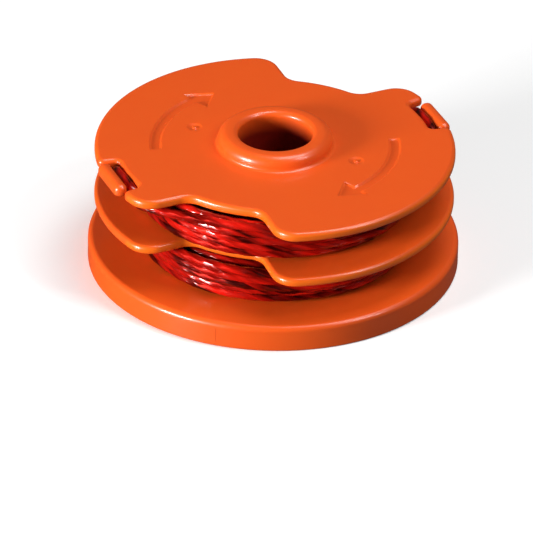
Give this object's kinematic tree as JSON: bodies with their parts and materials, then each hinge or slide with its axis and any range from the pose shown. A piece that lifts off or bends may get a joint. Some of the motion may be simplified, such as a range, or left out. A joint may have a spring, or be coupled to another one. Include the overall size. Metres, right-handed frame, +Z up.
{
  "type": "spool of trimmer line",
  "caption": "Moulded line spool for a grass trimmer: flanged drum with a bored collar, line windows and retaining tabs, wound with twisted cutting line in both channels.",
  "frame": {"origin": "where the bore's axis meets the plane that the base flange stands on", "axes": "+Z up along the bore towards the collar, X through the line-retaining tabs with the lower line's tab on +X, Y completing the right-handed set"},
  "size_m": [0.062, 0.062, 0.024],
  "materials": {
    "spool_plastic": "glossy orange moulded plastic",
    "cutting_line": "clear red twisted nylon line"
  },
  "bodies": {
    "root": {"spool_body": "spool_plastic", "upper_line": "cutting_line", "lower_line": "cutting_line"}
  },
  "joints": []
}
